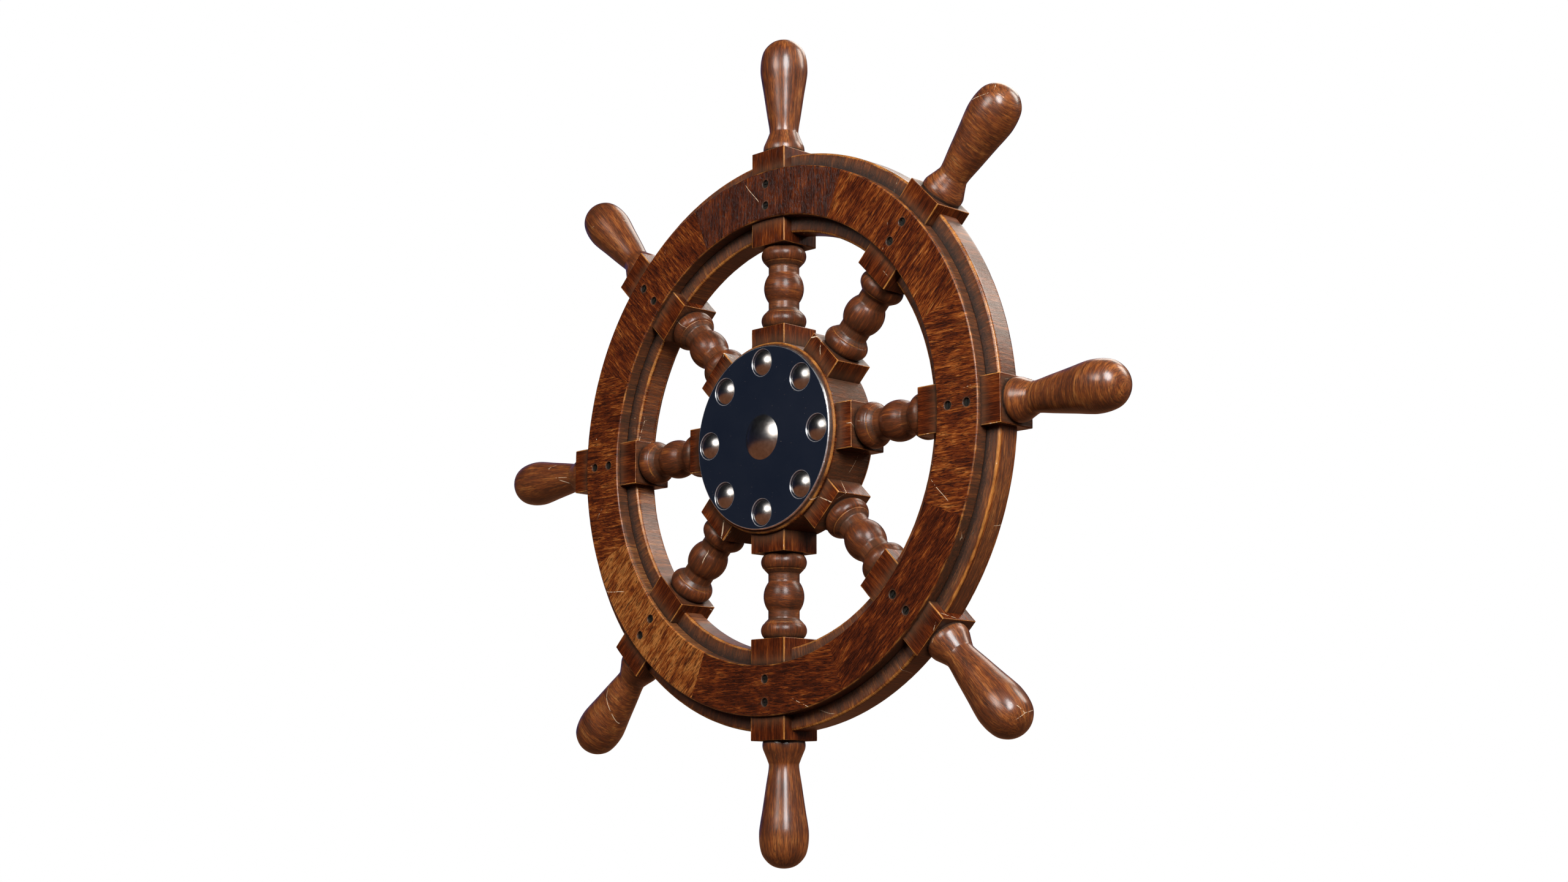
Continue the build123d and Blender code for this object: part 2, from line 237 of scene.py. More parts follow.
def smooth_line(points, steps):
    """A Catmull-Rom line through (radius, height) points, with the tip mirrored past the axis."""
    before = (2 * points[0][0] - points[1][0], 2 * points[0][1] - points[1][1])
    after = (-points[-2][0], points[-2][1])
    path = [before] + list(points) + [after]
    line = []
    for stretch in zip(path, path[1:], path[2:], path[3:]):
        for i in range(steps):
            line.append(tuple(catmull_rom(*axis, i / steps) for axis in zip(*stretch)))
    return line + [points[-1]]


def spread(start, end, step):
    """Even levels from start to end, no further apart than step."""
    count = max(1, math.ceil(abs(end - start) / step))
    return [start + (end - start) * i / count for i in range(count + 1)]


# -------------------- spoke
SIDE_POINTS = 18                    # points of a ring to each side of the square
RING_POINTS = 4 * SIDE_POINTS
CORNER_PLACES = (0, 1, 2, 16, 17)   # places of a side's points that lie on the corners
EDGE_PLACES = (3, 15)


def side_levels():
    """Where a side's own points lie across it, with one at each face of the rim's middle layer."""
    inner = [felloe_far * i / 4 for i in range(-3, 4)]
    outer = [half_stock - block_corner - 0.5 * MM, 0.75 * half_stock, felloe_far]
    return [-v for v in outer] + inner + outer[::-1]


def square_ring(half, corner):
    """(x, y) places round a square with rounded corners."""
    scale = half / half_stock
    levels = [level * scale for level in side_levels()]
    flat = half - corner
    side = [(flat + corner * math.cos(a), -flat - corner * math.sin(a)) for a in (math.pi / 4, math.pi / 8)]
    side += [(half, -flat)] + [(half, level) for level in levels] + [(half, flat)]
    side.append((flat + corner * math.cos(math.pi / 8), flat + corner * math.sin(math.pi / 8)))
    ring = []
    for quarter in range(4):
        c, s = round(math.cos(quarter * math.pi / 2)), round(math.sin(quarter * math.pi / 2))
        ring += [(n * c - t * s, n * s + t * c) for n, t in side]
    return ring


def housed_ring():
    """The rim block's ring where it is cut back to the felloes' faces to house the facings."""
    inset = 2.0 * MM
    reach = half_stock - felloe_far + inset
    ring = []
    for x, y in square_ring(half_stock, block_corner):
        if abs(y) > felloe_far + weld:
            along = (abs(y) - felloe_far) + (half_stock - abs(x))
            if abs(x) > half_stock - inset:
                x = math.copysign(half_stock - inset * min(1.0, along / reach), x)
            y = math.copysign(felloe_far, y)
        ring.append((x, y))
    return ring


def round_ring(radius):
    """(x, y) places round a circle, in step with the places round a square."""
    angles = [math.tau * (i - SIDE_POINTS / 2) / RING_POINTS for i in range(RING_POINTS)]
    return [(radius * math.cos(a), radius * math.sin(a)) for a in angles]


def bent(height, bend, x):
    """The height of a ring's point when the ring follows a circle round the hub."""
    return height + bend * (math.sqrt(max(0.0, height**2 - x**2)) - height)


def block_ring(shell, half, corner, height, bend=0.0, edge=0.0, grime_and_shade=0.0):
    """A ring of a square block; edge is how far into the block's end rounding it lies."""
    ring = []
    for i, (x, y) in enumerate(square_ring(half, corner)):
        place = i % SIDE_POINTS
        corner_wear = 0.8 if place in CORNER_PLACES else 0.28 if place in EDGE_PLACES else 0.0
        wear = max(corner_wear, 0.6 * edge)
        ring.append(shell.point((x, y, bent(height, bend, x)), wear, grime_and_shade, block_tone))
    return ring


def lathe_ring(shell, radius, height, wear=0.0, grime_and_shade=0.0, tone_and_light=0.0, raised=0.0):
    """A ring of a turned stretch: its soiling is never less than the film of dust on every turned surface,
    and is more where painted shade marks its hollows.
    """
    film = max(grime_and_shade, hand_grime)
    return [shell.point((x, y, height), wear, film, tone_and_light, raised) for x, y in round_ring(radius)]


def end_face_ring(shell, places, height, grime_and_shade):
    """A ring on a block's end face, where the figure runs across the face."""
    ring = [shell.point((x, y, height), 0.0, grime_and_shade, block_tone) for x, y in places]
    for vert in ring:
        vert[shell.grain_layer] = (vert.co.x + 3 * height, 0.0, 0.5 * vert.co.y)
    return ring


def block_end(shell, height, direction, foot):
    """Rings of a block's rounded end, from its long faces in to the foot of the turning on its end face."""
    rings = []
    for i in range(arc_steps):
        angle = math.pi / 2 * i / (arc_steps - 1)
        inset = block_end_round * (1 - math.cos(angle))
        level = height - direction * block_end_round * (1 - math.sin(angle))
        edge = math.sin(2 * angle)**0.5 if 0 < i < arc_steps - 1 else 0.4
        rings.append(block_ring(shell, half_stock - inset, block_corner - inset, level, edge=edge))
    hair = 0.03 * MM
    flat = square_ring(half_stock - block_end_round - hair, block_corner - block_end_round - hair)
    # The end face carries a trace of painted shade, and heavy painted shade round the foot of the turning.
    rings.append(end_face_ring(shell, flat, height, 0.1))
    rings.append(end_face_ring(shell, round_ring(foot + 0.3 * MM), height, 0.9))
    return rings


def hub_end_rings(shell):
    """The tenon in the nave and the hub block, which beds on the nave's round side."""
    rings = [lathe_ring(shell, tenon_radius, level) for level in (tenon_start, nave_radius - 4.0 * MM)]
    first = nave_radius + joint_gap / 2
    levels = spread(first, hub_block_end - block_end_round - 0.5 * MM, grid_step)
    for i, level in enumerate(levels):
        share = i / (len(levels) - 1)
        # Painted shade on the hub block where it beds on the nave, fading outwards.
        dirt_and_shade = 0.8 * (1 - share)**2
        rings.append(block_ring(shell, half_stock, block_corner, level, bend=1 - share, grime_and_shade=dirt_and_shade))
    return rings + block_end(shell, hub_block_end, 1, baluster_foot)


def baluster_outline():
    """(radius, height, wear, shade) from the hub block to the rim block; shade is painted shade in the
    turning's hollows.
    """
    middle = (hub_block_end + rim_block[0]) / 2
    neck, ball, ball_arc = 16.9 * MM, 22.0 * MM, 25.8 * MM
    foot, widest, arris = (baluster_foot, 0.8 * MM), (24.6 * MM, 7.3 * MM), (21.3 * MM, 17.2 * MM)
    start = hub_block_end
    # The fourth values are painted shade: full at the foot, fading up the swell, in the quirk under the arris
    # and along the neck.
    outline = [(foot[0], start, 0.0, 1.0), (foot[0], start + foot[1], 0.0, 1.0)]
    swell = arc_through(foot, widest, arris, 12)
    outline += [(r, start + z, 0.0, max(0.0, 0.7 - 90 * (z - foot[1]))) for r, z in swell[1:-1]]
    outline += [
        (arris[0] + 0.1 * MM, start + arris[1] - 0.5 * MM, 0.5, 0.0),
        (arris[0], start + arris[1], 0.6, 0.0),
        (arris[0] - 0.5 * MM, start + arris[1] + 0.5 * MM, 0.4, 0.0),
        (19.2 * MM, start + 19.4 * MM, 0.0, 0.5),
        (neck + 0.5 * MM, start + 21.2 * MM, 0.0, 0.8),
    ]
    centre = ball - ball_arc
    half_angle = math.acos((neck - centre) / ball_arc)
    neck_end = middle - ball_arc * math.sin(half_angle)
    outline += [(neck, z, 0.0, 0.35) for z in spread(start + 22.0 * MM, neck_end, 2.0 * MM)]
    turns = [half_angle * (1 - i / 8) for i in range(1, 9)]
    outline += [(centre + ball_arc * math.cos(a), middle - ball_arc * math.sin(a), 0.1, 0.0) for a in turns]
    mirrored = [(r, 2 * middle - z, wear, grime_and_shade) for r, z, wear, grime_and_shade in outline[-2::-1]]
    return outline + mirrored


def handle_outline():
    """(radius, height) of the grip, from the rim block to its tip."""
    foot = rim_block[1]
    bead = arc_through((handle_foot, foot), (23.0 * MM, foot + 3.5 * MM), (22.3 * MM, foot + 9.0 * MM), 5)
    shape = [(22.3, 9.0), (17.4, 21.0), (16.2, 27.5), (19.1, 46.5), (22.9, 72.0), (25.2, 86.0),
             (26.4, 97.0), (25.5, 110.0), (21.9, 121.0), (12.7, 130.0)]
    grip = smooth_line([(r * MM, foot + z * MM) for r, z in shape] + [(0.0, tip_radius)], 6)
    return bead + grip[1:]


def curving_rings(shell, levels, free_end, facing_edge):
    """Block rings that curve round the hub more the nearer they are to the facing, and carry more painted
    shade there.
    """
    rings = []
    for level in levels:
        share = (level - free_end) / (facing_edge - free_end)
        rings.append(block_ring(shell, half_stock, block_corner, level, bend=share, grime_and_shade=0.9 * share**4))
    return rings


def rim_block_rings(shell):
    """The rim block, housed in front and behind for the facings."""
    start, end = rim_block
    inner, outer = facing_radii[0] - joint_gap, facing_radii[1] + joint_gap
    rounded = block_end_round + 0.5 * MM
    rings = block_end(shell, start, -1, baluster_foot)[::-1]
    rings += curving_rings(shell, spread(start + rounded, inner, grid_step), start, inner)
    for level in (inner, (inner + outer) / 2, outer):
        places = [(x, y, bent(level, 1.0, x)) for x, y in housed_ring()]
        # Full painted shade where the block is housed under the facings.
        rings.append([shell.point(place, 0.0, 1.0, block_tone) for place in places])
    rings += curving_rings(shell, spread(outer, end - rounded, grid_step), end, outer)
    return rings + block_end(shell, end, 1, handle_foot)


def spoke_grain(index, seed):
    """Grain along the stock, or in rings where this spoke's turning shows them."""
    offset = seed.uniform(-1, 1)

    def grain(place):
        x, y, z = place
        if z > rim_block[1] + weld or hub_block_end + weld < z < rim_block[0] - weld:
            draw = (turned_radius / max(math.hypot(x, y), 1.0 * MM))**turned_draw
            x, y = x * draw, y * draw
        grip = z > rim_block[1] + 1.0 * MM
        waist = hub_block_end + 21.0 * MM < z < rim_block[0] - 21.0 * MM
        if (grip and index in ringed_handles) or (waist and index in ringed_balusters):
            return (z + offset + ring_slant * x, ring_across * x + offset, ring_along * y)
        return (x + offset, y + 2 * offset, z + offset)

    return grain


def make_spoke(index, material):
    """One spoke from its tenon to the tip of its handle, in one skin."""
    shell = Shell(spoke_grain(index, random.Random(index)))
    rings = hub_end_rings(shell)
    for radius, height, wear, grime_and_shade in baluster_outline():
        rings.append(lathe_ring(shell, radius, height, wear, grime_and_shade, baluster_tone, baluster_raised))
    rings += rim_block_rings(shell)
    outline = handle_outline()
    for radius, height in outline[:-1]:
        # Painted shade in the corner where the grip's bead meets the rim block.
        crease = 1.0 if height < rim_block[1] + 2.0 * MM else 0.0
        rings.append(lathe_ring(shell, radius, height, 0.0, crease, handle_tone, handle_raised))
    for first, second in zip(rings, rings[1:]):
        shell.skin(first, second)
    shell.cap(rings[0][::-1])
    peak = shell.point((0, 0, outline[-1][1]), 0.0, hand_grime, handle_tone, handle_raised)
    shell.fan(rings[-1], peak)
    return add_piece(shell, f"turned_spoke_{index}", f"spoke_{index}", index - 1, material)


# -------------------- rim pieces
def rounded_section(inner, outer, near, far, edge, levels, lip):
    """(radius, y, wear) round a rectangle with rounded corners, which are worn by lip.

    levels are the radii on the two flat faces, from the inner edge to the outer; far is the face that shows.
    """
    side = 1.0 if far > near else -1.0
    far_flat, near_flat = far - side * edge, near + side * edge
    walls = spread(far_flat, near_flat, grid_step)[1:-1]
    faces = [
        [(level, far, 0.0) for level in levels],
        [(outer, level, 0.0) for level in walls],
        [(level, near, 0.0) for level in levels[::-1]],
        [(inner, level, 0.0) for level in walls[::-1]],
    ]
    corners = [(outer - edge, far_flat), (outer - edge, near_flat)]
    corners += [(inner + edge, near_flat), (inner + edge, far_flat)]
    section = []
    for quarter, (face, (radius, y)) in enumerate(zip(faces, corners)):
        section += face
        for turn in (i / arc_steps for i in range(arc_steps + 1)):
            angle = math.pi / 2 * (1 - quarter - turn)
            wear = lip * math.sin(math.pi * (0.15 + 0.7 * turn))
            section.append((radius + edge * math.cos(angle), y + side * edge * math.sin(angle), wear))
    return section


def ring_place(radius, y, angle):
    """A place at an angle clockwise from the top of the wheel."""
    return (radius * math.sin(angle), y, radius * math.cos(angle))


def rim_grain(seed, along_ring, through, middle=None):
    """Grain that points at the hub or runs along the ring, and turns with the ring if it has a middle radius.

    through is how fast the figure changes through the piece's thickness.
    """
    shift = seed.uniform(-1, 1)

    def grain(place):
        across, out = place.x, place.z
        if middle:
            across, out = math.atan2(place.x, place.z) * middle, math.hypot(place.x, place.z)
        fine, coarse = (out, across) if along_ring else (across, out)
        return (fine + shift, through * place.y + shift, coarse)

    return grain


def felloe_dirt_and_shade(radius, y, wear):
    """Painted shade on a felloe's faces, thick next to the facings; a thin film of dust on its inner and
    outer sides, off their worn edges.
    """
    if abs(y) <= felloe_far - weld:
        return 0.35 * (wear == 0.0)
    clear = max(facing_radii[0] - radius, radius - facing_radii[1], 0)
    return max(0.0, 1 - clear / (15.0 * MM))**0.6


def make_felloe(index, material):
    """The rim's middle layer between two spokes, with painted shade where the facings stand on it and next to
    the spoke blocks.
    """
    seed = random.Random(100 + index)
    middle = sum(felloe_radii) / 2
    along_ring = index in tangential_felloes
    through = felloe_long_figure if along_ring else edge_figure
    shell = Shell(rim_grain(seed, along_ring, through, middle))
    inner, outer = felloe_radii
    levels = spread(inner + felloe_round + 0.4 * MM, facing_radii[0], 2.5 * MM)
    levels += spread(facing_radii[0], facing_radii[1], 9.0 * MM)[1:-1]
    levels += spread(facing_radii[1], outer - felloe_round - 0.4 * MM, 2.5 * MM)
    section = rounded_section(inner, outer, -felloe_far, felloe_far, felloe_round, levels, felloe_wear)
    tone_and_light = seed.uniform(-felloe_tone_spread, felloe_tone_spread) + felloe_tone_and_light.get(index, 0.0)
    sweep = 2 * (step_angle / 2 - math.asin(half_stock / middle)) * middle
    steps = math.ceil(sweep / grid_step)
    rings = []
    for step in range(steps + 1):
        share = 2 * step / steps - 1
        near_block = max(0.0, 1 - (1 - abs(share)) * sweep / (16.0 * MM))
        ring = []
        for radius, y, wear in section:
            end = step_angle / 2 - math.asin((half_stock + joint_gap / 2) / radius)
            # Painted shade next to the facings and the spoke blocks, and a film of dust on the inner and
            # outer sides.
            dirt_and_shade = max(felloe_dirt_and_shade(radius, y, wear), 0.6 * near_block * (wear < worn_through))
            ring.append(shell.point(ring_place(radius, y, end * share), wear, dirt_and_shade, tone_and_light))
        rings.append(ring)
    for first, second in zip(rings, rings[1:]):
        shell.skin(first, second)
    shell.cap(rings[0][::-1])
    shell.cap(rings[-1])
    return add_piece(shell, f"shaped_felloe_{index}", f"felloe_{index}", index - 0.5, material)


def facing_levels():
    """Radii on the facing's faces, closer together round its screw holes, and where those stretches start."""
    inner, outer = facing_radii[0] + facing_round, facing_radii[1] - facing_round
    levels = [inner + 0.4 * MM]
    starts = []
    for place in screw_radii:
        levels += spread(levels[-1], place - patch_half, grid_step)[1:]
        starts.append(len(levels) - 1)
        levels += [place - patch_half + 2 * patch_half * i / patch_cells for i in range(1, patch_cells + 1)]
    levels += spread(levels[-1], outer - 0.4 * MM, grid_step)[1:]
    return levels, starts


def facing_angles():
    """Angles along a facing, closer together across the screw holes, and where that stretch starts."""
    middle = sum(screw_radii) / 2
    patch = patch_half / middle
    end = step_angle / 2 - joint_gap / 2 / middle
    side = spread(patch, end, grid_step / middle)
    inner = [patch * (2 * i / patch_cells - 1) for i in range(1, patch_cells)]
    angles = [-a for a in side[::-1]] + inner + side
    return angles, len(side) - 1


def square_loop(rings, first_ring, first_point, direction):
    """The points round a patch of the grid, in order."""
    n = patch_cells
    loop = [rings[first_ring][first_point + direction * i] for i in range(n)]
    loop += [rings[first_ring + i][first_point + direction * n] for i in range(n)]
    loop += [rings[first_ring + n][first_point + direction * (n - i)] for i in range(n)]
    loop += [rings[first_ring + n - i][first_point] for i in range(n)]
    return loop


def hole_ring(shell, loop, place, radius, y, wear, grime_and_shade, tone_and_light):
    """Points at a hole's radius, each towards its own point of the patch's outline."""
    ring = []
    for vert in loop:
        angle = math.atan2(vert.co.z - place, vert.co.x)
        spot = (radius * math.cos(angle), y, place + radius * math.sin(angle))
        ring.append(shell.point(spot, wear, grime_and_shade, tone_and_light))
    return ring


def drill(shell, front_loop, back_loop, place, side, tone_and_light):
    """A counterbored screw hole from the facing's face to its back."""
    far, near = side * facing_far, side * felloe_far
    seat = far - side * screw_seat
    # The last value of each step is painted shade: a trace beside the hole, more on the chamfer, full down
    # the bore.
    steps = [
        (screw_hole + 1.2 * MM, far, 0.0, 0.1),
        (screw_hole + hole_chamfer, far, 0.2, 0.6),
        (screw_hole, far - side * hole_chamfer, 0.0, 1.0),
        (screw_hole, seat, 0.0, 1.0),
        (screw_shank, seat, 0.0, 1.0),
        (screw_shank, near, 0.0, 1.0),
    ]
    rings = [hole_ring(shell, front_loop, place, *step, tone_and_light) for step in steps]
    loops = [front_loop, *rings, back_loop]
    for first, second in zip(loops, loops[1:]):
        shell.skin(first, second)


def make_facing(index, side, material):
    """One segment of a facing ring, with its two screw holes; side is -1 in front, 1 behind."""
    seed = random.Random(200 + index + 50 * side)
    along_ring = index in tangential_facings
    through = facing_long_figure if along_ring else edge_figure
    shell = Shell(rim_grain(seed, along_ring, through))
    levels, starts = facing_levels()
    angles, patch_start = facing_angles()
    near, far = side * (felloe_far + joint_gap / 4), side * facing_far
    section = rounded_section(*facing_radii, near, far, facing_round, levels, facing_wear)
    tone_and_light = facing_tone_and_light[index]
    rings = []
    for angle in angles:
        ring = []
        for radius, y, wear in section:
            # The side walls take 0.6 of the soiling mix: painted shade and a painted grey sheen, with some
            # dust.
            side_wall = radius in facing_radii
            ring.append(shell.point(ring_place(radius, y, angle), wear, 0.6 * side_wall, tone_and_light))
        rings.append(ring)
    back_start = next(i for i, point in enumerate(section) if point[:2] == (levels[-1], near))
    patches = set()
    for start in starts:
        patches |= set(range(start, start + patch_cells))
        mirrored = back_start + len(levels) - 1 - start - patch_cells
        patches |= set(range(mirrored, mirrored + patch_cells))
    for step, (first, second) in enumerate(zip(rings, rings[1:])):
        in_patch = patch_start <= step < patch_start + patch_cells
        shell.skin(first, second, patches if in_patch else ())
    for start, place in zip(starts, screw_radii):
        front_loop = square_loop(rings, patch_start, start, 1)
        back_loop = square_loop(rings, patch_start, back_start + len(levels) - 1 - start, -1)
        drill(shell, front_loop, back_loop, place, side, tone_and_light)
    shell.cap(rings[0][::-1])
    shell.cap(rings[-1])
    name = "front_facing" if side < 0 else "rear_facing"
    return add_piece(shell, f"{name}_piece_{index}", f"{name}_{index}", index - 1, material)


# -------------------- node helpers
def new_material(name):
    material = bpy.data.materials.new(name)
    material.use_nodes = True
    material.node_tree.nodes.clear()
    return material, material.node_tree


def new_node(tree, kind):
    return tree.nodes.new("ShaderNode" + kind)


def link(tree, value, socket):
    """Join a socket, or set a plain number or colour."""
    if isinstance(value, bpy.types.NodeSocket):
        tree.links.new(value, socket)
    else:
        socket.default_value = value


def calculate(tree, operation, *values, clamp=False):
    """One step of arithmetic on plain numbers or sockets."""
    node = new_node(tree, "Math")
    node.operation = operation
    node.use_clamp = clamp
    for value, socket in zip(values, node.inputs):
        link(tree, value, socket)
    return node.outputs[0]


def times(tree, first, second, clamp=False):
    """first * second."""
    return calculate(tree, "MULTIPLY", first, second, clamp=clamp)


def times_plus(tree, first, second, extra):
    """first * second + extra."""
    return calculate(tree, "MULTIPLY_ADD", first, second, extra)


def vector_math(tree, operation, vector, other):
    """One step of arithmetic on two vectors."""
    node = new_node(tree, "VectorMath")
    node.operation = operation
    tree.links.new(vector, node.inputs[0])
    link(tree, other, node.inputs[1])
    return node.outputs[0]


def combined(tree, x, y, z):
    node = new_node(tree, "CombineXYZ")
    for value, socket in zip((x, y, z), node.inputs):
        tree.links.new(value, socket)
    return node.outputs[0]


def noise_value(tree, vector, per_metre, detail=2.0, roughness=0.5, distortion=0.0):
    """Smooth noise with so many features to a metre, on all axes or on each."""
    factors = per_metre if isinstance(per_metre, tuple) else (per_metre, per_metre, per_metre)
    node = new_node(tree, "TexNoise")
    node.inputs["Scale"].default_value = 1.0
    node.inputs["Detail"].default_value = detail
    node.inputs["Roughness"].default_value = roughness
    node.inputs["Distortion"].default_value = distortion
    tree.links.new(vector_math(tree, "MULTIPLY", vector, factors), node.inputs["Vector"])
    return node.outputs["Fac"]


def ramp(tree, value, low, high, result_low=0.0, result_high=1.0):
    """A smooth step of a value between two limits."""
    node = new_node(tree, "MapRange")
    node.interpolation_type = "SMOOTHSTEP"
    tree.links.new(value, node.inputs["Value"])
    node.inputs["From Min"].default_value = low
    node.inputs["From Max"].default_value = high
    node.inputs["To Min"].default_value = result_low
    node.inputs["To Max"].default_value = result_high
    return node.outputs["Result"]


def colours(tree, value, stops):
    node = new_node(tree, "ValToRGB")
    tree.links.new(value, node.inputs["Fac"])
    elements = node.color_ramp.elements
    while len(elements) < len(stops):
        elements.new(0.5)
    for element, (place, colour) in zip(elements, stops):
        element.position = place
        element.color = (*colour, 1.0)
    return node.outputs["Color"]


def mixed(tree, share, first, second):
    """The first colour at share 0, the second at share 1."""
    node = new_node(tree, "Mix")
    node.data_type = "RGBA"
    link(tree, share, node.inputs[0])
    link(tree, first, node.inputs[6])
    link(tree, second, node.inputs[7])
    return node.outputs[2]


def attribute(tree, name):
    node = new_node(tree, "Attribute")
    node.attribute_name = name
    return node


def bumped(tree, height, distance):
    node = new_node(tree, "Bump")
    node.inputs["Distance"].default_value = distance
    node.inputs["Strength"].default_value = 1.0
    tree.links.new(height, node.inputs["Height"])
    return node.outputs["Normal"]


def surface(tree, **sockets):
    """The output and its shader, with each named socket joined or set."""
    output = new_node(tree, "OutputMaterial")
    shader = new_node(tree, "BsdfPrincipled")
    for name, value in sockets.items():
        link(tree, value, shader.inputs[name.replace("_", " ")])
    tree.links.new(shader.outputs["BSDF"], output.inputs["Surface"])


# -------------------- wood
WOOD_STOPS = (
    (0.00, (0.019, 0.0042, 0.0018)),
    (0.25, (0.050, 0.0095, 0.0026)),
    (0.50, (0.108, 0.0205, 0.0042)),
    (0.75, (0.228, 0.0580, 0.0100)),
    (1.00, (0.375, 0.1400, 0.0340)),
)
SANDED = (0.46, 0.185, 0.040, 1.0)  # varnish rubbed thin
BARE = (0.74, 0.56, 0.38, 1.0)      # varnish gone
DUST = (0.105, 0.056, 0.029)        # what a little dust looks like, and the next one near-black soiling with painted shade in corners and hollows
DIRT_AND_SHADE = (0.012, 0.009, 0.006)
PORE = (0.010, 0.003, 0.002, 1.0)

# How strong and how fine each layer of the figure is; scales are features to a metre, last along the grain.
WoodLook = namedtuple("WoodLook", "name streak streak_scale fibre fibre_scale dark dash dash_scale crease "
                      "varnish turned_varnish roughness ior relief")
SPOKE_LOOK = WoodLook(
    name="varnished_spoke_wood",
    streak=1.1, streak_scale=(400.0, 400.0, 22.0),
    fibre=0.60, fibre_scale=(1500.0, 1500.0, 70.0),
    dark=0.35, dash=0.50, dash_scale=(1700.0, 1700.0, 120.0), crease=0.9,
    varnish=0.05, turned_varnish=0.60, roughness=0.15, ior=1.24, relief=0.07 * MM)
RIM_LOOK = WoodLook(
    name="varnished_rim_wood",
    streak=1.4, streak_scale=(420.0, 420.0, 38.0),
    fibre=0.80, fibre_scale=(1500.0, 1500.0, 110.0),
    dark=0.55, dash=0.65, dash_scale=(1600.0, 1600.0, 200.0), crease=0.8,
    varnish=0.15, turned_varnish=0.0, roughness=0.18, ior=1.40, relief=0.14 * MM)
FACING_LOOK = WoodLook(
    name="varnished_facing_wood",
    streak=1.4, streak_scale=(420.0, 420.0, 40.0),
    fibre=0.80, fibre_scale=(1500.0, 1500.0, 120.0),
    dark=0.75, dash=0.75, dash_scale=(1500.0, 1500.0, 190.0), crease=0.5,
    varnish=0.0, turned_varnish=0.0, roughness=0.13, ior=1.40, relief=0.14 * MM)
NAVE_LOOK = RIM_LOOK._replace(name="varnished_nave_wood", varnish=0.0, roughness=0.15, ior=1.24)
scratch_bend = 0.02


def scratch_mask(tree, place):
    """Scattered hairline scratches and small chips through the varnish."""
    warp = times(tree, noise_value(tree, place, 14.0, 1.0), scratch_bend)
    bent_place = vector_math(tree, "ADD", place, combined(tree, warp, warp, warp))
    cells = new_node(tree, "TexVoronoi")
    cells.feature = "DISTANCE_TO_EDGE"
    cells.inputs["Scale"].default_value = 7.0
    tree.links.new(bent_place, cells.inputs["Vector"])
    line = ramp(tree, cells.outputs["Distance"], 0.0013, 0.0026, 1.0, 0.0)
    patches = ramp(tree, noise_value(tree, place, 21.0, 2.0), 0.56, 0.59)
    broken = ramp(tree, noise_value(tree, place, 110.0, 3.0, 0.7), 0.44, 0.50)
    line = times(tree, times(tree, line, patches), broken)
    chips = new_node(tree, "TexVoronoi")
    chips.inputs["Scale"].default_value = 55.0
    tree.links.new(place, chips.inputs["Vector"])
    size = noise_value(tree, place, 40.0, 2.0)
    reach = ramp(tree, size, 0.60, 0.78, 0.0, 0.085)
    dot = calculate(tree, "LESS_THAN", chips.outputs["Distance"], reach)
    return calculate(tree, "MAXIMUM", line, dot)


def wood_figure(tree, grain, tone_and_light, raised, look):
    """The wood's colour before wear, its height for the bump, and its fibres."""
    patch = noise_value(tree, grain, (75.0, 75.0, 42.0), 2.0, 0.5)
    streak = noise_value(tree, grain, look.streak_scale, 2.0, 0.6, 0.5)
    fibre = noise_value(tree, grain, look.fibre_scale, 2.0, 0.6, 0.3)
    middle = 0.5 * (look.streak + look.fibre)
    value = times_plus(tree, patch, 0.9, 0.01 - middle)
    value = times_plus(tree, streak, look.streak, value)
    value = times_plus(tree, fibre, look.fibre, value)
    value = calculate(tree, "ADD", value, tone_and_light)
    colour = colours(tree, value, WOOD_STOPS)
    figure = noise_value(tree, grain, tuple(0.7 * scale for scale in look.streak_scale), 3.0, 0.7, 0.4)
    dark = ramp(tree, figure, 0.53, 0.64)
    colour = mixed(tree, times(tree, dark, look.dark), colour, (0.030, 0.0070, 0.0030, 1.0))
    dashes = ramp(tree, noise_value(tree, grain, look.dash_scale, 1.0), 0.53, 0.63)
    colour = mixed(tree, times(tree, dashes, look.dash), colour, PORE)
    ridge = noise_value(tree, grain, (250.0, 250.0, 15.0), 2.0, 0.55, 0.9)
    crease = calculate(tree, "ABSOLUTE", calculate(tree, "SUBTRACT", ridge, 0.5))
    crease = ramp(tree, crease, 0.010, 0.050, 1.0, 0.0)
    crease = times(tree, crease, times_plus(tree, raised, 0.75, 0.25))
    colour = mixed(tree, times(tree, crease, 0.5 * look.crease), colour, PORE)
    height = times_plus(tree, dashes, -0.5, fibre)
    height = times_plus(tree, crease, -1.1 * look.crease, height)
    return colour, height, fibre


def wood_material(look):
    """Satin varnished hardwood that reads from the mesh its grain, its wear, its soiling with painted shade,
    and its colour shift, which is partly painted light and shade.
    """
    material, tree = new_material(look.name)
    grain = attribute(tree, "grain").outputs["Vector"]
    wear, grime_and_shade, tone_and_light, raised = (attribute(tree, name).outputs["Fac"] for name in point_values)
    return finish_wood(material, tree, grain, tone_and_light, wear, grime_and_shade, raised, look)


